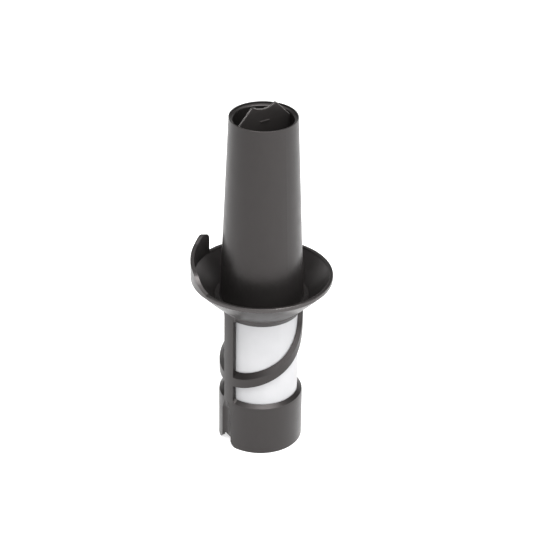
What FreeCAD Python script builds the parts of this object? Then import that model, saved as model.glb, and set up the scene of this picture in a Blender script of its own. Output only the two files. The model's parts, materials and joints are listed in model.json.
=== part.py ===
import FreeCAD, Part
import math
import os

import Sketcher

# Plug-in exhaust muffler cartridge: a tapered, felt-packed stack that stands in a drip bowl, over a
# ported cage with a fine screen and a plug that takes the exhaust nozzle.
# Frame: origin at the centre of the plug's bottom face, +Z up along the axis, and the post with
# the key groove on -Y. The other post is on +Y, and the cage is the same on both sides of X = 0.

# ------------------------------------------------------------------ driving dimensions, mm and deg
SIZES = {
    # plug and cage
    "plug_radius": 21.6,
    "plug_edge_round": 0.5,
    "collar_height": 27.5,
    "collar_bevel": 0.8,
    "ledge_rise": 1.6,
    "cage_radius": 21.4,
    "cage_bore": 19.3,
    "socket_bore": 18.0,
    "skirt_depth": 5.1,
    "rebate_floor": 23.8,
    "clip_groove_depth": 0.6,
    "clip_groove_low": 2.2,
    "clip_groove_high": 3.3,
    "post_angle": 19.5,
    "corner_round": 1.5,
    "hub_low": 76.0,
    "hub_bevel_top": 79.0,
    "hub_bevel_radius": 19.7,
    "bowl_seat": 79.2,
    "spigot_radius": 20.3,
    "shoulder": 81.4,
    # key groove
    "key_width": 7.2,
    "key_offset": -1.7,
    "key_floor": 19.5,
    "key_radius": 4.9,
    "key_shoulder": 20.6,
    "key_top": 27.6,
    "key_top_radius": 2.8,
    "notch_round": 4.8,
    # curved arms
    "arm_width": 5.3,
    "arm_tip_width": 3.4,
    "arm_bevel": 3.4,
    "arm_tip_bevel": 0.4,
    "arm_low": 40.7,
    # bowl and thumb tab
    "fit_gap": 0.05,
    "bowl_radius": 36.0,
    "bowl_rim": 96.1,
    "bowl_wall": 1.9,
    "lip_height": 2.4,
    "lip_inside": 0.9,
    "underside_foot": 79.6,
    "underside_bend": 120.0,
    "trough_bend": 120.0,
    "trough_radius": 23.8,
    "trough_floor": 84.2,
    "collar_radius": 23.0,
    "collar_top": 84.8,
    "stack_socket": 21.35,
    "rim_round": 0.5,
    "tab_start": 193.5,
    "tab_sweep": 77.5,
    "tab_height": 11.8,
    "tab_corner": 4.0,
    # stack
    "stack_top": 183.4,
    "stack_foot": 84.6,
    "stack_top_radius": 17.05,
    "stack_taper": 0.0425,
    "shell_wall": 1.2,
    "mouth_radius": 16.45,
    "mouth_depth": 0.9,
    "liner_radius": 15.9,
    "liner_bore": 15.1,
    "liner_foot": 86.6,
    "liner_flange": 1.2,
    "bead_height": 125.0,
    "bead_thickness": 1.0,
    "bead_bore": 14.2,
    "packing_joint": 130.0,
    "packing_top": 168.0,
    "packing_foot": 91.0,
    # foot of the stack and the screen that hangs from it
    "gasket_thickness": 0.8,
    "foot_radius": 21.15,
    "foot_spigot": 18.9,
    "seal_section": 0.5,
    "seal_groove_low": 82.8,
    "seal_groove_high": 84.0,
    "hanger_radius": 17.6,
    "hanger_low": 74.2,
    "mesh_radius": 19.0,
    "mesh_thickness": 0.35,
    "mesh_low": 24.2,
    "mesh_high": 81.8,
    "band_bore": 17.7,
    "band_height": 3.6,
    # blade
    "blade_thickness": 1.2,
    "blade_half_width": 15.0,
    "blade_low": 129.0,
    "blade_shoulder": 180.7,
    "blade_turn": -5.2,
    "horn_reach": 6.6,
    "horn_height": 189.7,
    "valley_round": 10.6,
    "grip_bar_height": 181.0,
    "blade_ring_bore": 13.6,
    # inlet socket
    "inlet_bore": 12.5,
    "inlet_wall": 2.0,
    "inlet_low": 2.0,
    "inlet_high": 20.0,
    "seal_seat": 13.0,
    "seal_recess": 13.7,
    "flange_thickness": 1.8,
    "grille_thickness": 1.2,
}

doc = FreeCAD.newDocument("exhaust_muffler")
sheet = doc.addObject("Spreadsheet::Sheet", "sizes")
for row, (alias, number) in enumerate(SIZES.items(), start=1):
    sheet.set("A%d" % row, alias)
    sheet.set("B%d" % row, str(number))
    sheet.setAlias("B%d" % row, alias)
doc.recompute()


class Size:
    """A length with its value and the sheet expression that gives it."""

    def __init__(self, value, text):
        self.value = value
        self.text = text

    def __add__(self, other):
        other = as_size(other)
        return Size(self.value + other.value, "(%s + %s)" % (self.text, other.text))

    def __sub__(self, other):
        other = as_size(other)
        return Size(self.value - other.value, "(%s - %s)" % (self.text, other.text))

    def __mul__(self, other):
        other = as_size(other)
        return Size(self.value * other.value, "(%s * %s)" % (self.text, other.text))

    def __neg__(self):
        return Size(-self.value, "(0 - %s)" % self.text)


def as_size(number):
    """A plain number as a Size, and a Size as it is."""
    if isinstance(number, Size):
        return number
    return Size(float(number), "%g" % number)


class Sizes:
    """The sheet's aliases as attributes, each one a Size."""

    def __getattr__(self, alias):
        return Size(float(sheet.get(alias)), "sizes." + alias)


s = Sizes()


# ------------------------------------------------------------------ sketch and body helpers
def origin_plane(body, role):
    """One of the body's own origin planes, such as XZ_Plane."""
    for feature in body.Origin.OriginFeatures:
        if feature.Role == role:
            return feature
    raise ValueError(role)


def new_sketch(body, name, plane, lift=None):
    """An empty sketch on an origin plane of the body, lifted along the plane's normal."""
    sketch = body.newObject("Sketcher::SketchObject", name)
    sketch.AttachmentSupport = [(origin_plane(body, plane), "")]
    sketch.MapMode = "FlatFace"
    if lift is not None:
        sketch.setExpression("AttachmentOffset.Base.z", as_size(lift).text)
    return sketch


def arc_between(start, end, radius):
    """An arc of the given radius from start to end: positive turns left, negative turns right."""
    middle = (start + end) * 0.5
    chord = end - start
    half = chord.Length / 2
    to_left = FreeCAD.Vector(-chord.y, chord.x, 0).normalize()
    reach = math.sqrt(max(radius * radius - half * half, 0.0))
    side = 1 if radius > 0 else -1
    centre = middle + to_left * (reach * side)
    bulge = centre - to_left * (abs(radius) * side)
    return Part.Arc(start, bulge, end)


def place_corner(sketch, geometry, position, x, y):
    """Dimension one end of a line or arc from the sketch's origin, bound to the sheet."""
    for kind, size in (("DistanceX", x), ("DistanceY", y)):
        size = as_size(size)
        if size.value == 0:
            axis = -2 if kind == "DistanceX" else -1
            sketch.addConstraint(Sketcher.Constraint("PointOnObject", geometry, position, axis))
            continue
        constraint = Sketcher.Constraint(kind, -1, 1, geometry, position, size.value)
        number = sketch.addConstraint(constraint)
        sketch.setExpression("Constraints[%d]" % number, size.text)


def closed_outline(sketch, corners):
    """Draw a closed outline. Each corner is (x, y), or (x, y, radius) where an arc leaves it."""
    points = [FreeCAD.Vector(as_size(c[0]).value, as_size(c[1]).value, 0) for c in corners]
    ends = []
    for index, corner in enumerate(corners):
        start = points[index]
        end = points[(index + 1) % len(points)]
        if len(corner) == 2:
            number = sketch.addGeometry(Part.LineSegment(start, end), False)
            ends.append((number, 1, 2))
            continue
        radius = as_size(corner[2])
        arc = arc_between(start, end, radius.value)
        number = sketch.addGeometry(arc, False)
        left_turn = radius.value > 0
        ends.append((number, 1, 2) if left_turn else (number, 2, 1))
        size = radius if left_turn else -radius
        constraint = sketch.addConstraint(Sketcher.Constraint("Radius", number, size.value))
        sketch.setExpression("Constraints[%d]" % constraint, size.text)
    for index, (number, first, last) in enumerate(ends):
        following = ends[(index + 1) % len(ends)]
        joint = Sketcher.Constraint("Coincident", number, last, following[0], following[1])
        sketch.addConstraint(joint)
        place_corner(sketch, number, first, corners[index][0], corners[index][1])
    return sketch


def circle(sketch, x, y, radius):
    """A full circle, dimensioned from the sketch's origin."""
    x, y, radius = as_size(x), as_size(y), as_size(radius)
    centre = FreeCAD.Vector(x.value, y.value, 0)
    normal = FreeCAD.Vector(0, 0, 1)
    number = sketch.addGeometry(Part.Circle(centre, normal, radius.value), False)
    constraint = sketch.addConstraint(Sketcher.Constraint("Radius", number, radius.value))
    sketch.setExpression("Constraints[%d]" % constraint, radius.text)
    place_corner(sketch, number, 3, x, y)


def new_body(label):
    """An empty body whose label is the node's name."""
    body = doc.addObject("PartDesign::Body", label)
    body.Label = label
    return body


def turned(body, name, corners, angle=360, plane="XZ_Plane"):
    """Revolve a section about the body's axis; a part turn is centred on the section's plane."""
    sketch = closed_outline(new_sketch(body, name + "_section", plane), corners)
    turn = body.newObject("PartDesign::Revolution", name)
    turn.Profile = sketch
    turn.ReferenceAxis = (sketch, ["V_Axis"])
    angle = as_size(angle)
    turn.Midplane = angle.value < 360
    turn.setExpression("Angle", angle.text)
    return turn


def turned_body(label, corners):
    """A body that is one full turn of a section."""
    body = new_body(label)
    turned(body, label + "_turn", corners)
    return body


def pocket(body, name, sketch, both_ways=False, reverse=False):
    """Cut a sketch right through the body, and make sure that it removed material."""
    doc.recompute()
    before = body.Shape.Volume
    cut = body.newObject("PartDesign::Pocket", name)
    cut.Profile = sketch
    cut.Type = "ThroughAll"
    cut.Midplane = both_ways
    cut.Reversed = reverse
    doc.recompute()
    if body.Shape.Volume > before - 0.01:
        raise ValueError(name + " cuts nothing")
    return cut


def polar(body, name, feature, count, angle=360):
    """Repeat a feature about the body's Z axis and make the pattern the body's tip."""
    pattern = body.newObject("PartDesign::PolarPattern", name)
    pattern.Originals = [feature]
    axis = [f for f in body.Origin.OriginFeatures if f.Role == "Z_Axis"][0]
    pattern.Axis = (axis, [""])
    pattern.Angle = angle
    pattern.Occurrences = count
    body.Tip = pattern
    doc.recompute()
    return pattern


def rounded(body, name, base, edges, radius):
    """Fillet the named edges of a feature."""
    fillet = body.newObject("PartDesign::Fillet", name)
    fillet.Base = (base, edges)
    fillet.setExpression("Radius", as_size(radius).text)
    doc.recompute()
    return fillet


def edges_where(shape, test):
    """Names of the shape's edges that pass a test."""
    return ["Edge%d" % (n + 1) for n, edge in enumerate(shape.Edges) if test(edge)]


# ------------------------------------------------------------------ cage and plug
def plug_section():
    """Plug wall: skirt with a spring-ring groove, thick socket bore, and the screen's rebate."""
    edge = s.plug_edge_round
    return [
        (s.cage_bore, 0),
        (s.plug_radius - edge, 0, edge),
        (s.plug_radius, edge),
        (s.plug_radius, s.collar_height - s.collar_bevel * 2),
        (s.cage_radius, s.collar_height - s.collar_bevel),
        (s.cage_radius, s.collar_height),
        (s.cage_bore, s.collar_height + s.ledge_rise),
        (s.cage_bore, s.rebate_floor),
        (s.socket_bore, s.rebate_floor),
        (s.socket_bore, s.skirt_depth),
        (s.cage_bore, s.skirt_depth),
        (s.cage_bore, s.clip_groove_high),
        (s.cage_bore + s.clip_groove_depth, s.clip_groove_high),
        (s.cage_bore + s.clip_groove_depth, s.clip_groove_low),
        (s.cage_bore, s.clip_groove_low),
    ]


def hub_section():
    """Hub ring with its bevelled lower edge and the spigot that the bowl is pressed on."""
    return [
        (s.cage_bore, s.hub_low),
        (s.hub_bevel_radius, s.hub_low),
        (s.cage_radius, s.hub_bevel_top),
        (s.cage_radius, s.bowl_seat),
        (s.spigot_radius, s.bowl_seat),
        (s.spigot_radius, s.shoulder),
        (s.cage_bore, s.shoulder),
    ]


def post_section():
    """A post's radial section, which reaches into the collar and the hub."""
    overlap = 2
    return [
        (s.cage_bore, s.collar_height - overlap),
        (s.cage_radius, s.collar_height - overlap),
        (s.cage_radius, s.bowl_seat),
        (s.cage_bore, s.bowl_seat),
    ]


def is_post_corner(edge):
    """A radial edge where a post's side wall meets the ledge or the hub's bevel."""
    first, last = edge.Vertexes[0].Point, edge.Vertexes[-1].Point
    radii = [math.hypot(p.x, p.y) for p in (first, last)]
    spans_wall = abs(radii[0] - radii[1]) > 1.0
    angles = [abs(math.degrees(math.atan2(p.x, abs(p.y)))) for p in (first, last)]
    on_post = all(abs(a - s.post_angle.value / 2) < 0.3 for a in angles)
    low, high = sorted((first.z, last.z))
    return spans_wall and on_post and low > 20 and high < s.bowl_seat.value - 0.1


def cage_moulding():
    """Plug, posts and hub with the notch for the key, before the arms are added."""
    body = new_body("cage_moulding")
    turned(body, "plug_wall", plug_section())
    post = turned(body, "post", post_section(), s.post_angle, "YZ_Plane")
    doc.recompute()
    polar(body, "posts", post, 2)
    hub = turned(body, "hub_ring", hub_section())
    body.Tip = hub
    doc.recompute()
    corners = edges_where(body.Shape, is_post_corner)
    rounded(body, "post_corners", hub, corners, s.corner_round)
    left = s.key_offset - s.key_width * 0.5
    right = s.key_offset + s.key_width * 0.5
    depth = s.socket_bore - 3
    notch = closed_outline(new_sketch(body, "key_notch_outline", "XZ_Plane", depth), [
        (left - s.notch_round, 0),
        (right + s.notch_round, 0, -s.notch_round),
        (right, s.notch_round),
        (right, s.skirt_depth),
        (left, s.skirt_depth),
        (left, s.notch_round, -s.notch_round),
    ])
    pocket(body, "key_notch", notch, reverse=True)
    return body


def arm_path(part_way):
    """Middle of the arm's outer face: a cubic curve on the unrolled cage, as (along, height)."""
    leaves_post = (7.5, s.arm_low.value - 2.2)
    turns_up = (56.9, 54.0)
    enters_hub = (49.6, 80.0)
    controls = [(0.0, s.arm_low.value), leaves_post, turns_up, enters_hub]
    rest = 1 - part_way
    weights = (rest ** 3, 3 * rest ** 2 * part_way, 3 * rest * part_way ** 2, part_way ** 3)
    return [sum(w * c[axis] for w, c in zip(weights, controls)) for axis in (0, 1)]


def between(start, end, part_way):
    """A size that changes evenly along the arm."""
    return start.value + (end.value - start.value) * part_way


def arm_section(part_way):
    """The arm's section across its path: flat below, with a bevel that rises towards the screen."""
    step = 0.001
    along, height = arm_path(part_way)
    before = arm_path(part_way - step)
    after = arm_path(part_way + step)
    tangent = FreeCAD.Vector(after[0] - before[0], after[1] - before[1], 0).normalize()
    outer, inner = s.cage_radius.value, s.cage_bore.value
    angle = along / outer - math.pi / 2
    radial = FreeCAD.Vector(math.cos(angle), math.sin(angle), 0)
    sideways = FreeCAD.Vector(-math.sin(angle), math.cos(angle), 0)
    upward = FreeCAD.Vector(0, 0, 1)
    across = upward * tangent.x - sideways * tangent.y
    spare = 0.6
    bevel = between(s.arm_bevel, s.arm_tip_bevel, part_way)
    slope = bevel / (outer - inner)
    half = between(s.arm_width, s.arm_tip_width, part_way) / 2
    section = [
        (-half, inner - spare),
        (-half, outer + spare),
        (half - slope * spare, outer + spare),
        (half + bevel + slope * spare, inner - spare),
    ]
    corners = [radial * r + across * n + upward * height for n, r in section]
    return Part.makePolygon(corners + corners[:1])


def curved_arm():
    """One arm: a loft along its path, trimmed to the thickness of the cage wall."""
    sections = 8
    loft = Part.makeLoft([arm_section(n / (sections - 1)) for n in range(sections)], True, False)
    bottom = s.collar_height.value
    height = s.bowl_seat.value - bottom
    base = FreeCAD.Vector(0, 0, bottom)
    wall = Part.makeCylinder(s.cage_radius.value, height, base)
    wall = wall.cut(Part.makeCylinder(s.cage_bore.value, height, base))
    arm = doc.addObject("Part::Feature", "curved_arm")
    arm.Shape = loft.common(wall)
    return arm


def key_channel():
    """What the key groove takes away: a round channel that runs out in a pointed arch."""
    channel = doc.addObject("Part::Cylinder", "key_channel")
    arch = doc.addObject("Part::Cone", "key_arch")
    below = 1.0
    beyond = 1.0
    channel.setExpression("Radius", "sizes.key_radius")
    channel.setExpression("Height", "sizes.key_shoulder + %g" % below)
    channel.setExpression("Placement.Base.z", "%g" % -below)
    rise = "(sizes.key_top - sizes.key_shoulder)"
    narrowing = "(sizes.key_radius - sizes.key_top_radius) / %s" % rise
    arch.setExpression("Radius1", "sizes.key_radius")
    arch.setExpression("Radius2", "sizes.key_top_radius - %g * %s" % (beyond, narrowing))
    arch.setExpression("Height", "%s + %g" % (rise, beyond))
    arch.setExpression("Placement.Base.z", "sizes.key_shoulder")
    for piece in (channel, arch):
        piece.setExpression("Placement.Base.x", "sizes.key_offset")
        piece.setExpression("Placement.Base.y", "-(sizes.key_floor + sizes.key_radius)")
    groove = doc.addObject("Part::MultiFuse", "key_groove")
    groove.Shapes = [channel, arch]
    return groove


def screen_cage():
    """The whole cage: plug, posts and hub with the two mirrored arms, less the key groove."""
    moulding = cage_moulding()
    arm = curved_arm()
    mirrored = doc.addObject("Part::Mirroring", "mirrored_arm")
    mirrored.Source = arm
    mirrored.Normal = FreeCAD.Vector(1, 0, 0)
    blank = doc.addObject("Part::MultiFuse", "cage_blank")
    blank.Shapes = [moulding, arm, mirrored]
    blank.Refine = True
    cage = doc.addObject("Part::Cut", "screen_cage")
    cage.Base = blank
    cage.Tool = key_channel()
    return cage


# ------------------------------------------------------------------ bowl
def bowl_section():
    """Bowl with a curved underside, an upright lip and the socket that takes the stack's foot."""
    wall = s.bowl_radius - s.bowl_wall
    round_off = s.rim_round
    bore = s.spigot_radius + s.fit_gap
    return [
        (bore, s.bowl_seat),
        (s.cage_radius, s.bowl_seat),
        (s.cage_radius, s.underside_foot, s.underside_bend),
        (s.bowl_radius - round_off, s.bowl_rim - s.lip_height, round_off),
        (s.bowl_radius, s.bowl_rim - s.lip_height + round_off),
        (s.bowl_radius, s.bowl_rim - round_off, round_off),
        (s.bowl_radius - round_off, s.bowl_rim),
        (wall + round_off, s.bowl_rim, round_off),
        (wall, s.bowl_rim - round_off),
        (wall, s.bowl_rim - s.lip_inside, -s.trough_bend),
        (s.trough_radius, s.trough_floor),
        (s.collar_radius, s.trough_floor),
        (s.collar_radius, s.collar_top),
        (s.stack_socket, s.collar_top),
        (s.stack_socket, s.shoulder),
        (bore, s.shoulder),
    ]


def tab_cut_away():
    """What is cut from a plain raised rim to leave the tab: all of it above the tab's outline."""
    radius = s.bowl_radius.value
    rim = s.bowl_rim.value
    top = s.tab_height.value
    corner = s.tab_corner.value

    def flat(angle, rise):
        """Point of the tab's outline, by its angle round the rim from the steep end."""
        return radius * math.sin(math.radians(angle - s.tab_sweep.value / 2)), rim + rise

    steep_end = (radius - s.bowl_wall.value) * math.sin(math.radians(-s.tab_sweep.value / 2))
    crown_tilt = math.radians(20)
    crown_end = steep_end + corner + corner * math.sin(crown_tilt)
    crown_drop = corner - corner * math.cos(crown_tilt)
    back_start, back_end = 20.5, 56.0
    shoulder_end = 60.8
    spare = 3
    outline = [
        ((steep_end, rim + top - corner), -corner),
        ((steep_end + corner, rim + top), -corner),
        ((crown_end, rim + top - crown_drop), None),
        (flat(back_start, top - 1.9), None),
        (flat(back_end, top - 5.7), -5.7),
        (flat(shoulder_end, top - 7.3), 18.0),
        (flat(s.tab_sweep.value, 0), None),
    ]
    corners = [point if bend is None else (point[0], point[1], bend) for point, bend in outline]
    return [(-radius, rim), (steep_end, rim)] + corners + [
        (radius, rim),
        (radius, rim + top + spare),
        (-radius, rim + top + spare),
    ]


def catch_bowl():
    """The bowl with the thumb tab that stands up from its rim."""
    body = new_body("catch_bowl")
    turned(body, "bowl_wall_turn", bowl_section())
    wall = s.bowl_radius - s.bowl_wall
    middle = s.tab_start.value + s.tab_sweep.value / 2
    sketch = new_sketch(body, "tab_section", "XZ_Plane")
    sketch.AttachmentOffset = FreeCAD.Placement(
        FreeCAD.Vector(0, 0, 0), FreeCAD.Rotation(FreeCAD.Vector(0, 1, 0), middle))
    closed_outline(sketch, [
        (wall, s.bowl_rim - s.rim_round),
        (s.bowl_radius, s.bowl_rim - s.rim_round),
        (s.bowl_radius, s.bowl_rim + s.tab_height + 1),
        (wall, s.bowl_rim + s.tab_height + 1),
    ])
    tab = body.newObject("PartDesign::Revolution", "raised_tab")
    tab.Profile = sketch
    tab.ReferenceAxis = (sketch, ["V_Axis"])
    tab.Midplane = True
    tab.setExpression("Angle", s.tab_sweep.text)
    doc.recompute()
    cutter = new_sketch(body, "tab_outline", "XZ_Plane")
    cutter.AttachmentOffset = FreeCAD.Placement(
        FreeCAD.Vector(0, 0, 0), FreeCAD.Rotation(FreeCAD.Vector(0, 1, 0), middle + 90))
    closed_outline(cutter, tab_cut_away())
    pocket(body, "tab_shape", cutter, both_ways=True)
    return body


# ------------------------------------------------------------------ stack
def stack_radius(height):
    """Outside radius of the tapered stack at a height."""
    return s.stack_top_radius + (s.stack_top - height) * s.stack_taper


def stack_shell():
    """Tapered outer tube with a thin lip and a step 3 mm down for the liner's flange."""
    ledge = s.stack_top - s.mouth_depth - s.liner_flange
    lip_round = 0.25
    return turned_body("stack_shell", [
        (stack_radius(s.stack_foot) - s.shell_wall, s.stack_foot),
        (stack_radius(s.stack_foot), s.stack_foot),
        (s.stack_top_radius, s.stack_top - lip_round, lip_round),
        (s.stack_top_radius - lip_round, s.stack_top),
        (s.mouth_radius + lip_round, s.stack_top, lip_round),
        (s.mouth_radius, s.stack_top - lip_round),
        (s.mouth_radius, ledge),
        (stack_radius(ledge) - s.shell_wall, ledge),
    ])


def stack_liner():
    """Perforated inner tube with a top flange, and a bead inside that the blade's ring stands on."""
    top = s.stack_top - s.mouth_depth
    funnel = 0.4
    edge = 0.3
    body = turned_body("stack_liner", [
        (s.liner_bore, s.liner_foot),
        (s.liner_radius, s.liner_foot),
        (s.liner_radius, top - s.liner_flange),
        (s.mouth_radius - s.fit_gap, top - s.liner_flange),
        (s.mouth_radius - s.fit_gap, top),
        (s.liner_bore + edge, top - funnel),
        (s.liner_bore, top - funnel - edge),
        (s.liner_bore, s.bead_height + s.bead_thickness),
        (s.bead_bore, s.bead_height + s.bead_thickness),
        (s.bead_bore, s.bead_height),
        (s.liner_bore, s.bead_height - s.bead_thickness),
    ])
    holes = new_sketch(body, "liner_holes_outline", "XZ_Plane")
    hole_radius = 2.0
    pitch = 9.0
    for row in range(3):
        circle(holes, 0, s.packing_foot + (row * pitch + 5), hole_radius)
    for row in range(4):
        circle(holes, 0, s.packing_joint + (row * pitch + 5), hole_radius)
    cut = pocket(body, "liner_holes", holes, both_ways=True)
    polar(body, "liner_hole_ring", cut, 10, 180)
    return body


def packing(label, low, high):
    """A felt wrap that fills the space between the liner and the shell."""
    clear = s.shell_wall + s.fit_gap
    return turned_body(label, [
        (s.liner_radius + s.fit_gap, low),
        (stack_radius(low) - clear, low),
        (stack_radius(high) - clear, high),
        (s.liner_radius + s.fit_gap, high),
    ])


def foot_adapter():
    """Ring that closes the stack's foot, with a spigot up into the shell and a hanger below."""
    seat = s.shoulder + s.gasket_thickness
    groove = s.seal_section * 2
    return turned_body("foot_adapter", [
        (s.liner_bore, s.hanger_low),
        (s.hanger_radius, s.hanger_low),
        (s.hanger_radius, seat),
        (s.foot_radius, seat),
        (s.foot_radius, s.seal_groove_low),
        (s.foot_radius - groove, s.seal_groove_low),
        (s.foot_radius - groove, s.seal_groove_high),
        (s.foot_radius, s.seal_groove_high),
        (s.foot_radius, s.stack_foot),
        (s.foot_spigot, s.stack_foot),
        (s.foot_spigot, s.packing_foot - 0.2),
        (s.liner_radius + s.fit_gap, s.packing_foot - 0.2),
        (s.liner_radius + s.fit_gap, s.liner_foot),
        (s.liner_bore, s.liner_foot),
    ])


def foot_o_ring():
    """Round-section rubber ring in the foot's groove."""
    ring = doc.addObject("Part::Torus", "foot_o_ring")
    ring.setExpression("Radius1", "sizes.foot_radius + 0.1 - sizes.seal_section")
    ring.setExpression("Radius2", "sizes.seal_section")
    ring.setExpression("Placement.Base.z", "(sizes.seal_groove_low + sizes.seal_groove_high) / 2")
    return ring


def hub_gasket():
    """Flat rubber washer that the stack's foot stands on."""
    return turned_body("hub_gasket", [
        (s.cage_bore + 0.1, s.shoulder),
        (s.stack_socket - 0.1, s.shoulder),
        (s.stack_socket - 0.1, s.shoulder + s.gasket_thickness),
        (s.cage_bore + 0.1, s.shoulder + s.gasket_thickness),
    ])


# ------------------------------------------------------------------ screen
def screen_mesh():
    """Fine white sleeve, bonded to a band at each end."""
    return turned_body("screen_mesh", [
        (s.mesh_radius - s.mesh_thickness, s.mesh_low),
        (s.mesh_radius, s.mesh_low),
        (s.mesh_radius, s.mesh_high),
        (s.mesh_radius - s.mesh_thickness, s.mesh_high),
    ])


def screen_band(label, low, high):
    """A hoop inside one end of the mesh."""
    outer = s.mesh_radius - s.mesh_thickness
    return turned_body(label, [
        (s.band_bore, low),
        (outer, low),
        (outer, high),
        (s.band_bore, high),
    ])


def screen_core():
    """Three hoops on six ribs, which keep the mesh round between its end bands."""
    low = s.mesh_low + s.band_height
    high = s.hanger_low - 0.6
    outer = s.mesh_radius - s.mesh_thickness - s.fit_gap
    body = turned_body("screen_core", [
        (s.band_bore, low),
        (outer, low),
        (outer, high),
        (s.band_bore, high),
    ])
    hoop = 2.0
    middle = (low.value + high.value) / 2
    half_window = 7.5
    windows = new_sketch(body, "core_windows_outline", "XZ_Plane")
    for bottom, top in ((low + hoop, middle - hoop / 2), (middle + hoop / 2, high - hoop)):
        closed_outline(windows, [
            (-half_window, bottom),
            (half_window, bottom),
            (half_window, top),
            (-half_window, top),
        ])
    cut = pocket(body, "core_windows", windows, both_ways=True)
    polar(body, "core_window_ring", cut, 3, 180)
    return body


# ------------------------------------------------------------------ blade
def splitter_blade():
    """Flat plate across the liner, with a fishtail top: two horns and a hollow between them."""
    body = new_body("splitter_blade")
    turned_plane = FreeCAD.Placement(
        FreeCAD.Vector(0, 0, 0), FreeCAD.Rotation(FreeCAD.Vector(0, 1, 0), s.blade_turn.value))
    sketch = new_sketch(body, "blade_outline", "YZ_Plane")
    sketch.AttachmentOffset = turned_plane
    closed_outline(sketch, [
        (-s.blade_half_width, s.blade_low),
        (s.blade_half_width, s.blade_low),
        (s.blade_half_width, s.blade_shoulder),
        (s.horn_reach, s.horn_height, -s.valley_round),
        (-s.horn_reach, s.horn_height),
        (-s.blade_half_width, s.blade_shoulder),
    ])
    plate = body.newObject("PartDesign::Pad", "blade_plate")
    plate.Profile = sketch
    plate.Midplane = True
    plate.setExpression("Length", s.blade_thickness.text)
    doc.recompute()
    grip = new_sketch(body, "grip_bar_outline", "YZ_Plane")
    grip.AttachmentOffset = turned_plane
    half_height = 0.3
    closed_outline(grip, [
        (-2.4, s.grip_bar_height - half_height),
        (2.8, s.grip_bar_height - half_height),
        (2.8, s.grip_bar_height + half_height),
        (-2.4, s.grip_bar_height + half_height),
    ])
    bar = body.newObject("PartDesign::Pad", "grip_bar")
    bar.Profile = grip
    bar.Midplane = True
    bar.setExpression("Length", (s.blade_thickness + 1.0).text)
    doc.recompute()
    return body


def blade_ring():
    """Ring at the blade's foot that stands on the liner's bead and keeps the blade upright."""
    return turned_body("blade_ring", [
        (s.blade_ring_bore, s.bead_height + s.bead_thickness),
        (s.blade_half_width, s.bead_height + s.bead_thickness),
        (s.blade_half_width, s.blade_low),
        (s.blade_ring_bore, s.blade_low),
    ])


# ------------------------------------------------------------------ inlet
def inlet_socket():
    """Short tube for the exhaust nozzle, with a flange against the plug's inner shoulder."""
    outer = s.inlet_bore + s.inlet_wall
    under = s.skirt_depth - s.flange_thickness
    return turned_body("inlet_socket", [
        (s.inlet_bore + 0.6, s.inlet_low),
        (outer, s.inlet_low),
        (outer, under),
        (s.cage_bore - s.fit_gap, under),
        (s.cage_bore - s.fit_gap, s.skirt_depth),
        (outer, s.skirt_depth),
        (outer, s.inlet_high),
        (s.seal_recess, s.inlet_high),
        (s.seal_recess, s.seal_seat),
        (s.inlet_bore, s.seal_seat),
        (s.inlet_bore, s.inlet_low + 0.6),
    ])


def inlet_seal():
    """Rubber ring with a rounded lip that stands a little proud of the socket's bore."""
    thickness = 3.0
    return turned_body("inlet_seal", [
        (s.seal_recess - s.fit_gap, s.seal_seat),
        (s.seal_recess - s.fit_gap, s.seal_seat + thickness),
        (s.inlet_bore + 0.05, s.seal_seat + thickness, 3.5),
        (s.inlet_bore + 0.05, s.seal_seat),
    ])


def seal_retainer():
    """Ring pressed in over the seal."""
    low = s.seal_seat + 3.0
    return turned_body("seal_retainer", [
        (s.inlet_bore + 0.1, low),
        (s.seal_recess - s.fit_gap, low),
        (s.seal_recess - s.fit_gap, low + 2.4),
        (s.inlet_bore + 0.1, low + 2.4),
    ])


def retaining_ring():
    """Open spring ring in the skirt's groove, with its gap at the key notch."""
    body = new_body("retaining_ring")
    turned(body, "retaining_ring_turn", [
        (s.cage_bore - 1.3, s.clip_groove_low + s.fit_gap),
        (s.cage_bore + s.clip_groove_depth - s.fit_gap, s.clip_groove_low + s.fit_gap),
        (s.cage_bore + s.clip_groove_depth - s.fit_gap, s.clip_groove_high - s.fit_gap),
        (s.cage_bore - 1.3, s.clip_groove_high - s.fit_gap),
    ], 305, "YZ_Plane")
    doc.recompute()
    return body


def inlet_grille():
    """Perforated disc on top of the socket that spreads the exhaust into the screen."""
    body = turned_body("inlet_grille", [
        (0, s.inlet_high),
        (s.socket_bore - s.fit_gap, s.inlet_high),
        (s.socket_bore - s.fit_gap, s.inlet_high + s.grille_thickness),
        (0, s.inlet_high + s.grille_thickness),
    ])
    for ring, (distance, count) in enumerate(((4.2, 6), (8.6, 12)), start=1):
        hole = new_sketch(body, "grille_hole_%d" % ring, "XY_Plane")
        circle(hole, distance, 0, 1.4)
        cut = pocket(body, "grille_cut_%d" % ring, hole, both_ways=True)
        polar(body, "grille_ring_%d" % ring, cut, count)
    return body


# ------------------------------------------------------------------ assembly and export
nodes = [
    screen_cage(),
    catch_bowl(),
    hub_gasket(),
    inlet_socket(),
    inlet_seal(),
    seal_retainer(),
    retaining_ring(),
    inlet_grille(),
    stack_shell(),
    stack_liner(),
    packing("packing_lower", s.packing_foot, s.packing_joint),
    packing("packing_upper", s.packing_joint, s.packing_top),
    foot_adapter(),
    foot_o_ring(),
    screen_mesh(),
    screen_band("screen_top_band", s.hanger_low, s.mesh_high),
    screen_band("screen_bottom_band", s.mesh_low, s.mesh_low + s.band_height),
    screen_core(),
    splitter_blade(),
    blade_ring(),
]
doc.recompute()

for item in doc.Objects:
    if "Invalid" in item.State or "Error" in item.State:
        raise ValueError("%s failed: %s" % (item.Label, item.State))

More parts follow.
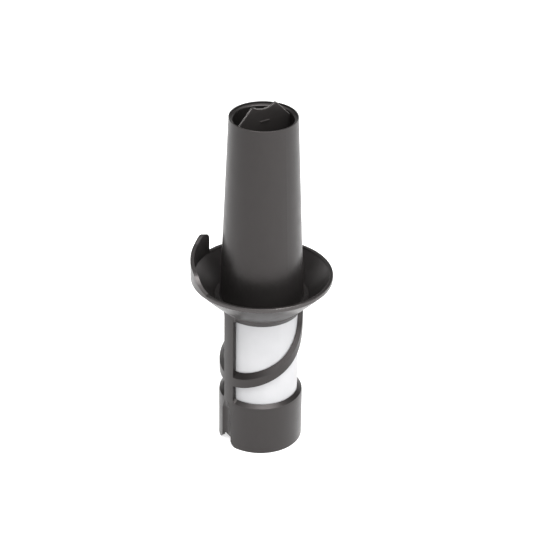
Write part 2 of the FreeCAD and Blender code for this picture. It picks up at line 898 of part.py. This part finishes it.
os.makedirs("parts", exist_ok=True)
for node in nodes:
    shape = node.Shape
    if shape.isNull() or not shape.isValid() or not shape.Solids:
        raise ValueError(node.Label + " has no valid solid")
    shape.exportStep(os.path.join("parts", node.Label + ".step"))
    box = shape.BoundBox
    print("%-20s %9.1f mm3, %d solid, z %.1f to %.1f" % (
        node.Label, shape.Volume, len(shape.Solids), box.ZMin, box.ZMax))
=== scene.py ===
"""Looks of the plug-in exhaust muffler: materials, the woven screen and the studio round it."""

import json
import math

import bmesh
import bpy
from mathutils import Matrix, Vector


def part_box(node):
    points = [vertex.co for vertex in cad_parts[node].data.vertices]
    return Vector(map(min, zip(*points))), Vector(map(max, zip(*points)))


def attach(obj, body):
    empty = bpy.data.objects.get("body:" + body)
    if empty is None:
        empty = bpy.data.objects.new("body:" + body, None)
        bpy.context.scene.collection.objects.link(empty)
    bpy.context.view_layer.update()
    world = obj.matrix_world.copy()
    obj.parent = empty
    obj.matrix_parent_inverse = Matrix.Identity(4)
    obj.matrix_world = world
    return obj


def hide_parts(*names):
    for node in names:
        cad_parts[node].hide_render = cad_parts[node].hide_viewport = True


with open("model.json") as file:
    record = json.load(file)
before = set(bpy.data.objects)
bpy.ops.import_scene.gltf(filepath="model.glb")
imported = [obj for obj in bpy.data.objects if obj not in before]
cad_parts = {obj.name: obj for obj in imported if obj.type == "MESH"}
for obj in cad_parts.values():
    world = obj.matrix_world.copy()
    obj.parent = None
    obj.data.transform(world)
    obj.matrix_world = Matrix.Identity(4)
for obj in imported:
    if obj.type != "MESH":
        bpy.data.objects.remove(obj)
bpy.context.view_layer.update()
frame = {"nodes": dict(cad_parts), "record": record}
NODES = frame["nodes"]
MM = 0.001

# Camera: where it stands round the part, and how it is held
VIEW_TURN = math.radians(51.05)
VIEW_RISE = math.radians(30.16)
VIEW_ROLL = math.radians(0.74)
VIEW_DISTANCE = 1.0
VIEW_ASIDE = 2.30 * MM
VIEW_AIM_HEIGHT = 99.67 * MM
LENS = 134.4
SENSOR = 36.0

WARM_GLOSS = (1.0, 0.93, 0.925)

# Rounding of the moulded edges
EDGE_ROUNDS = {
    "screen_cage": 0.18 * MM,
    "catch_bowl": 0.15 * MM,
    "splitter_blade": 0.25 * MM,
}

# Splitter blade, whose top edge carries fine ribs. Sizes in millimetres, angle in degrees
BLADE_TURN = 84.8
BLADE_TOP = 189.7
BLADE_SHOULDER = 180.7
BLADE_HALF_WIDTH = 15.0
HORN_REACH = 6.6
VALLEY_ROUND = 10.6
RIB_SPACING = 0.7
RIB_HALF_WIDTH = 0.17
RIB_HALF_LENGTH = 0.42
RIB_RISE = 0.15
RIB_SINK = 0.1
BARE_TIP = 0.45

# Screen sleeve
SCREEN_RADIUS = 18.93 * MM
SCREEN_THICKNESS = 0.24 * MM
SEAM_TURN = 351.0
SEAM_WIDTH = 2.6 * MM
SEAM_RISE = 0.05 * MM
THREAD_PITCH = 0.2 * MM
CREASE_REACH = 11.0

# Studio
FLOOR_SIZE = 6.0
TABLE_GLOW = 0.68
BRIGHT_WALL = 1.0
DARK_ROOM = 0.02
WALL_TOP = 0.16
DARK_FROM = 0.42
LIGHT_AIM_HEIGHT = 0.1


class Nodes:
    """A material's node tree, built line by line."""

    def __init__(self, name):
        self.material = bpy.data.materials.new(name)
        self.material.use_nodes = True
        self.tree = self.material.node_tree
        self.shader = self.tree.nodes["Principled BSDF"]
        self.output = self.tree.nodes["Material Output"]
        self.place = self.add("ShaderNodeTexCoord").outputs["Object"]

    def add(self, kind, **settings):
        node = self.tree.nodes.new(kind)
        for key, value in settings.items():
            setattr(node, key, value)
        return node

    def join(self, source, target):
        self.tree.links.new(source, target)

    def fill(self, **values):
        """Sets the shader's own sockets, named with _ for a space."""
        for key, value in values.items():
            socket = self.shader.inputs[key.replace("_", " ")]
            is_colour = hasattr(value, "__len__") and len(value) == 3
            socket.default_value = (*value, 1.0) if is_colour else value

    def noise(self, scale, detail=2.0, roughness=0.5, stretch=None):
        """Noise with scale features to the metre. stretch multiplies the scale along X, Y and Z."""
        texture = self.add("ShaderNodeTexNoise")
        texture.inputs["Scale"].default_value = scale
        texture.inputs["Detail"].default_value = detail
        texture.inputs["Roughness"].default_value = roughness
        if stretch:
            mapping = self.add("ShaderNodeMapping")
            mapping.inputs["Scale"].default_value = stretch
            self.join(self.place, mapping.inputs["Vector"])
            self.join(mapping.outputs["Vector"], texture.inputs["Vector"])
        else:
            self.join(self.place, texture.inputs["Vector"])
        return texture.outputs["Fac"]

    def spread(self, value, low, high, start=0.0, end=1.0):
        """Maps value from start..end to low..high."""
        node = self.add("ShaderNodeMapRange")
        ranges = {"From Min": start, "From Max": end, "To Min": low, "To Max": high}
        for socket, number in ranges.items():
            node.inputs[socket].default_value = number
        self.join(value, node.inputs["Value"])
        return node.outputs["Result"]

    def colours(self, value, *stops):
        """A colour ramp with stops (place, colour)."""
        ramp = self.add("ShaderNodeValToRGB").color_ramp
        while len(ramp.elements) < len(stops):
            ramp.elements.new(0.5)
        for element, (place, colour) in zip(ramp.elements, stops):
            element.position = place
            element.color = (*colour, 1.0)
        node = self.tree.nodes[-1]
        self.join(value, node.inputs["Fac"])
        return node.outputs["Color"]

    def bump(self, height, depth, strength=1.0, under=None):
        """Bump from a 0..1 height that is depth metres deep."""
        node = self.add("ShaderNodeBump")
        node.inputs["Distance"].default_value = depth
        node.inputs["Strength"].default_value = strength
        self.join(height, node.inputs["Height"])
        if under is not None:
            self.join(under, node.inputs["Normal"])
        return node.outputs["Normal"]


def shaded(colour, factor):
    return tuple(channel * factor for channel in colour)


def moulded_plastic(name, colour, roughness, ior=1.43, grain_depth=0.012 * MM):
    """Satin moulded plastic: fine spark-eroded grain, slight flow marks and uneven gloss."""
    nodes = Nodes(name)
    flow = nodes.noise(45, detail=3, stretch=(1.0, 1.0, 0.25))
    base = nodes.colours(flow, (0.3, shaded(colour, 0.93)), (0.7, shaded(colour, 1.07)))
    nodes.join(base, nodes.shader.inputs["Base Color"])
    gloss = nodes.noise(160, detail=4)
    nodes.join(nodes.spread(gloss, roughness - 0.04, roughness + 0.04, 0.3, 0.7),
               nodes.shader.inputs["Roughness"])
    grain = nodes.noise(5200, detail=2)
    waves = nodes.noise(110, detail=1, stretch=(1.0, 1.0, 0.3))
    relief = nodes.bump(waves, 0.03 * MM, 0.5)
    nodes.join(nodes.bump(grain, grain_depth, 1.0, relief), nodes.shader.inputs["Normal"])
    nodes.fill(IOR=ior, Specular_Tint=WARM_GLOSS)
    return nodes.material


def plain_rubber():
    nodes = Nodes("rubber")
    dust = nodes.noise(900, detail=3)
    nodes.join(nodes.colours(dust, (0.35, (0.012, 0.012, 0.012)), (0.75, (0.022, 0.022, 0.021))),
               nodes.shader.inputs["Base Color"])
    nodes.join(nodes.spread(dust, 0.5, 0.7), nodes.shader.inputs["Roughness"])
    nodes.join(nodes.bump(nodes.noise(3000), 0.01 * MM), nodes.shader.inputs["Normal"])
    return nodes.material


def pressed_felt():
    nodes = Nodes("felt")
    fibres = nodes.noise(2600, detail=6, roughness=0.75, stretch=(1.0, 1.0, 0.45))
    clumps = nodes.noise(220, detail=4)
    tone = nodes.add("ShaderNodeMath", operation="MULTIPLY")
    nodes.join(fibres, tone.inputs[0])
    nodes.join(clumps, tone.inputs[1])
    nodes.join(nodes.colours(tone.outputs[0], (0.1, (0.2, 0.19, 0.17)), (0.5, (0.52, 0.5, 0.45))),
               nodes.shader.inputs["Base Color"])
    nodes.join(nodes.bump(fibres, 0.35 * MM), nodes.shader.inputs["Normal"])
    nodes.fill(Roughness=0.95, Sheen_Weight=0.4, Sheen_Roughness=0.5)
    return nodes.material


def spring_steel():
    nodes = Nodes("spring_steel")
    lines = nodes.noise(700, detail=5, stretch=(1.0, 1.0, 12.0))
    nodes.join(nodes.colours(lines, (0.3, (0.3, 0.3, 0.31)), (0.7, (0.48, 0.48, 0.49))),
               nodes.shader.inputs["Base Color"])
    nodes.join(nodes.spread(lines, 0.22, 0.4), nodes.shader.inputs["Roughness"])
    nodes.join(nodes.bump(lines, 0.01 * MM), nodes.shader.inputs["Normal"])
    nodes.fill(Metallic=1.0)
    return nodes.material


def white_plastic():
    nodes = Nodes("white_plastic")
    cloud = nodes.noise(90, detail=3)
    nodes.join(nodes.colours(cloud, (0.3, (0.74, 0.74, 0.73)), (0.7, (0.8, 0.8, 0.79))),
               nodes.shader.inputs["Base Color"])
    nodes.join(nodes.spread(cloud, 0.35, 0.45), nodes.shader.inputs["Roughness"])
    nodes.join(nodes.bump(nodes.noise(4200), 0.008 * MM), nodes.shader.inputs["Normal"])
    nodes.fill(Subsurface_Weight=0.1, Subsurface_Scale=0.5 * MM)
    return nodes.material


def woven_screen():
    """Fine monofilament weave: threads along the sheet's own two directions, with slight clouding."""
    nodes = Nodes("screen_fabric")
    sheet = nodes.add("ShaderNodeUVMap").outputs["UV"]
    threads = []
    for direction in ("X", "Y"):
        wave = nodes.add("ShaderNodeTexWave", wave_type="BANDS", bands_direction=direction)
        wave.inputs["Scale"].default_value = 1 / (THREAD_PITCH * 20) * math.pi
        wave.inputs["Distortion"].default_value = 0.0
        nodes.join(sheet, wave.inputs["Vector"])
        threads.append(wave.outputs["Fac"])
    weave = nodes.add("ShaderNodeMath", operation="MAXIMUM")
    nodes.join(threads[0], weave.inputs[0])
    nodes.join(threads[1], weave.inputs[1])
    cloud = nodes.noise(60, detail=3)
    nodes.join(nodes.colours(cloud, (0.3, (0.405, 0.405, 0.415)), (0.7, (0.45, 0.45, 0.46))),
               nodes.shader.inputs["Base Color"])
    nodes.join(nodes.bump(weave.outputs[0], 0.02 * MM, 0.6), nodes.shader.inputs["Normal"])
    nodes.fill(Roughness=0.55, Sheen_Weight=0.15)
    return nodes.material


MATERIALS = {
    "charcoal_plastic": moulded_plastic("charcoal_plastic", (0.0135, 0.0125, 0.0122), 0.33),
    "dark_plastic": moulded_plastic("dark_plastic", (0.0125, 0.0115, 0.0112), 0.3),
    "blade_plastic": moulded_plastic("blade_plastic", (0.018, 0.0165, 0.016), 0.34),
    "bowl_finish": moulded_plastic("bowl_finish", (0.0135, 0.0125, 0.0122), 0.32, ior=1.62),
    # The ribs are the blade's own plastic: this far lighter colour is a painted highlight of the
    # overhead light on the up-facing top edge
    "blade_edge_painted_highlight": moulded_plastic("blade_edge_painted_highlight", (0.2, 0.19, 0.187), 0.36),
    "rubber": plain_rubber(),
    "felt": pressed_felt(),
    "spring_steel": spring_steel(),
    "white_plastic": white_plastic(),
    "screen_fabric": woven_screen(),
}

# Nodes whose surface is a little glossier than the rest of their slot
FINISH_OF = {"catch_bowl": "bowl_finish"}


def dress_cad_nodes():
    """Gives each carried-over node its slot's material, or its own finish."""
    slot_of = {row["node"]: row["material_slot"] for row in frame["record"]["subparts"]}
    for name, node in NODES.items():
        node.data.materials.clear()
        node.data.materials.append(MATERIALS[FINISH_OF.get(name, slot_of[name])])


def screen_sleeve():
    """The woven sleeve: one wrapped sheet with a welded lap seam and a few soft diagonal creases."""
    low, high = (corner[2] + 0.05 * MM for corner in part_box("screen_mesh"))
    around, rows = 360, 96
    seam = math.radians(SEAM_TURN)
    half_seam = SEAM_WIDTH / SCREEN_RADIUS / 2
    # Each crease: its turn round the sleeve, its level, its slope, its width and its depth
    creases = ((330, 36, 0.55, 2.6, 0.07), (352, 45, -0.7, 2.0, 0.06), (318, 62, 0.35, 3.2, 0.05),
               (60, 50, 0.5, 2.8, 0.06), (140, 40, -0.5, 3.0, 0.06), (225, 58, 0.6, 2.4, 0.06))

    def radius(angle, height):
        lift = 0.0
        for turn, level, slope, width, depth in creases:
            along = (angle - math.radians(turn) + math.pi) % (2 * math.pi) - math.pi
            off = (height / MM - level) - slope * along * SCREEN_RADIUS / MM
            reach = math.exp(-(along * SCREEN_RADIUS / MM / CREASE_REACH) ** 2)
            lift -= depth * MM * reach * math.exp(-(off / width) ** 2)
        lift += 0.012 * MM * math.sin(3 * angle + height * 160) * math.sin(height * 230 + 2 * angle)
        gap = abs((angle - seam + math.pi) % (2 * math.pi) - math.pi)
        step = max(0.0, min(1.0, (half_seam - gap) / (0.2 * MM / SCREEN_RADIUS) + 0.5))
        return SCREEN_RADIUS + lift + SEAM_RISE * step

    build = bmesh.new()
    chart = build.loops.layers.uv.new("UVMap")
    grid = []
    for row in range(rows + 1):
        height = low + (high - low) * row / rows
        turns = [2 * math.pi * column / around for column in range(around)]
        ring = [(radius(turn, height), turn) for turn in turns]
        grid.append([build.verts.new((r * math.cos(turn), r * math.sin(turn), height))
                     for r, turn in ring])
    for row in range(rows):
        for column in range(around):
            after = (column + 1) % around
            face = build.faces.new((grid[row][column], grid[row][after],
                                    grid[row + 1][after], grid[row + 1][column]))
            face.smooth = True
            places = ((column, row), (column + 1, row), (column + 1, row + 1), (column, row + 1))
            for loop, (across, up) in zip(face.loops, places):
                loop[chart].uv = (across / around * 2 * math.pi * SCREEN_RADIUS,
                                  (high - low) * up / rows)
    mesh = bpy.data.meshes.new("screen_sleeve")
    build.to_mesh(mesh)
    build.free()
    sleeve = bpy.data.objects.new("screen_sleeve", mesh)
    bpy.context.scene.collection.objects.link(sleeve)
    thick = sleeve.modifiers.new("thickness", "SOLIDIFY")
    thick.thickness = SCREEN_THICKNESS
    thick.offset = -1
    mesh.materials.append(MATERIALS["screen_fabric"])
    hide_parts("screen_mesh")
    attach(sleeve, "stack")


def blade_outline():
    """Where the ribs stand along the blade's top edge, with the edge's direction at each."""
    rise = BLADE_TOP - BLADE_SHOULDER
    run = BLADE_HALF_WIDTH - HORN_REACH
    slope = math.atan2(rise, run)
    length = math.hypot(rise, run)
    points = []
    for step in range(1, int(length / RIB_SPACING)):
        part = step * RIB_SPACING / length
        along = BLADE_HALF_WIDTH - run * part
        height = BLADE_SHOULDER + rise * part
        points.append((-along, height, slope))
        points.append((along, height, -slope))
    centre = BLADE_TOP + math.sqrt(VALLEY_ROUND ** 2 - HORN_REACH ** 2)
    sweep = math.asin(HORN_REACH / VALLEY_ROUND)
    count = int(2 * sweep * VALLEY_ROUND / RIB_SPACING)
    for step in range(1, count):
        turn = -sweep + 2 * sweep * step / count
        along = VALLEY_ROUND * math.sin(turn)
        points.append((along, centre - VALLEY_ROUND * math.cos(turn), turn))
    return [point for point in points if point[1] < BLADE_TOP - BARE_TIP]


def blade_ribs():
    """Fine ribs across the blade's top edge, one small rounded ridge each."""
    face = math.radians(BLADE_TURN)
    along_blade = Vector((math.cos(face), math.sin(face), 0))
    across_blade = Vector((-math.sin(face), math.cos(face), 0))
    build = bmesh.new()
    side = ((RIB_HALF_WIDTH, -RIB_SINK), (RIB_HALF_WIDTH, 0.0), (RIB_HALF_WIDTH / 2, RIB_RISE * 0.8))
    profile = [(-x, y) for x, y in side] + [(0.0, RIB_RISE)] + list(side[::-1])
    for along, height, slope in blade_outline():
        edge = along_blade * math.cos(slope) + Vector((0, 0, math.sin(slope)))
        out = Vector((0, 0, math.cos(slope))) - along_blade * math.sin(slope)
        foot = along_blade * along + Vector((0, 0, height))
        ends = []
        for end in (-RIB_HALF_LENGTH, RIB_HALF_LENGTH):
            ends.append([build.verts.new((foot + edge * x + out * y + across_blade * end) * MM)
                         for x, y in profile])
        for first in range(len(profile)):
            second = (first + 1) % len(profile)
            build.faces.new((ends[0][first], ends[0][second], ends[1][second], ends[1][first]))
        build.faces.new(ends[0][::-1])
        build.faces.new(ends[1])
    bmesh.ops.recalc_face_normals(build, faces=build.faces)
    mesh = bpy.data.meshes.new("blade_edge_ribs")
    build.to_mesh(mesh)
    build.free()
    ribs = bpy.data.objects.new("blade_edge_ribs", mesh)
    bpy.context.scene.collection.objects.link(ribs)
    # The ribs get the lighter material, a painted highlight of the overhead light along the blade's
    # top edge
    mesh.materials.append(MATERIALS["blade_edge_painted_highlight"])
    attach(ribs, "blade")


def crisp_edges():
    """Small roundings where moulded faces meet, so that the edges catch the light."""
    for name, width in EDGE_ROUNDS.items():
        node = NODES[name]
        weld = node.modifiers.new("weld", "WELD")
        weld.merge_threshold = 0.002 * MM
        bevel = node.modifiers.new("edges", "BEVEL")
        bevel.width = width
        bevel.segments = 3
        bevel.limit_method = "ANGLE"
        bevel.angle_limit = math.radians(28)
        bevel.use_clamp_overlap = True
        node.modifiers.new("shading", "WEIGHTED_NORMAL").keep_sharp = True


def camera():
    """The camera, placed by its turn round the part, its rise and its roll."""
    data = bpy.data.cameras.new("camera")
    data.lens = LENS
    data.sensor_width = SENSOR
    data.clip_end = 20.0
    eye = bpy.data.objects.new("camera", data)
    bpy.context.scene.collection.objects.link(eye)
    turn = Matrix.Rotation(VIEW_TURN, 4, "Z")
    tilt = Matrix.Rotation(math.pi / 2 - VIEW_RISE, 4, "X")
    roll = Matrix.Rotation(VIEW_ROLL, 4, "Z")
    back = Vector((0, -math.cos(VIEW_RISE), math.sin(VIEW_RISE)))
    place = Vector((VIEW_ASIDE, 0, VIEW_AIM_HEIGHT)) + back * VIEW_DISTANCE
    eye.matrix_world = turn @ Matrix.Translation(place) @ tilt @ roll
    bpy.context.scene.camera = eye


def soft_light(name, azimuth, height, distance, size, power):
    """A rectangular soft box that faces the part's middle. Azimuth is measured as the camera's is."""
    data = bpy.data.lights.new(name, "AREA")
    data.shape = "RECTANGLE"
    data.size, data.size_y = size
    data.energy = power
    lamp = bpy.data.objects.new(name, data)
    bpy.context.scene.collection.objects.link(lamp)
    turn = math.radians(azimuth)
    lamp.location = (math.sin(turn) * distance, -math.cos(turn) * distance, height)
    to_part = Vector((0, 0, LIGHT_AIM_HEIGHT)) - lamp.location
    lamp.rotation_euler = to_part.to_track_quat("-Z", "Y").to_euler()


def studio():
    """Pale floor, a room that is bright at the floor's level and dark above, and three soft boxes."""
    mesh = bpy.data.meshes.new("floor")
    half = FLOOR_SIZE / 2
    corners = [(-half, -half, 0), (half, -half, 0), (half, half, 0), (-half, half, 0)]
    mesh.from_pydata(corners, [], [(0, 1, 2, 3)])
    floor = bpy.data.objects.new("floor", mesh)
    bpy.context.scene.collection.objects.link(floor)
    nodes = Nodes("floor")
    nodes.fill(Base_Color=(0.7, 0.7, 0.7), Roughness=0.7, Emission_Color=(1.0, 1.0, 1.0),
               Emission_Strength=TABLE_GLOW)
    mesh.materials.append(nodes.material)

    world = bpy.data.worlds.new("studio")
    bpy.context.scene.world = world
    world.use_nodes = True
    tree = world.node_tree
    background = tree.nodes["Background"]
    place = tree.nodes.new("ShaderNodeTexCoord")
    split = tree.nodes.new("ShaderNodeSeparateXYZ")
    ramp = tree.nodes.new("ShaderNodeValToRGB")
    tree.links.new(place.outputs["Generated"], split.inputs["Vector"])
    tree.links.new(split.outputs["Z"], ramp.inputs["Fac"])
    tree.links.new(ramp.outputs["Color"], background.inputs["Color"])
    low, high = ramp.color_ramp.elements
    for stop, level, tone in ((low, WALL_TOP, BRIGHT_WALL), (high, DARK_FROM, DARK_ROOM)):
        stop.position = level
        stop.color = (tone, tone, tone, 1.0)
    background.inputs["Strength"].default_value = 1.0

    turn = math.degrees(VIEW_TURN)
    soft_light("key", turn + 46, 0.62, 0.95, (1.0, 0.6), 6.5)
    soft_light("ceiling", turn, 1.3, 0.1, (2.2, 2.2), 24.0)
    soft_light("over_front", turn + 14, 1.1, 0.5, (1.0, 0.6), 13.0)
    bpy.context.scene.view_settings.view_transform = "Standard"


dress_cad_nodes()
screen_sleeve()
blade_ribs()
crisp_edges()
camera()
studio()
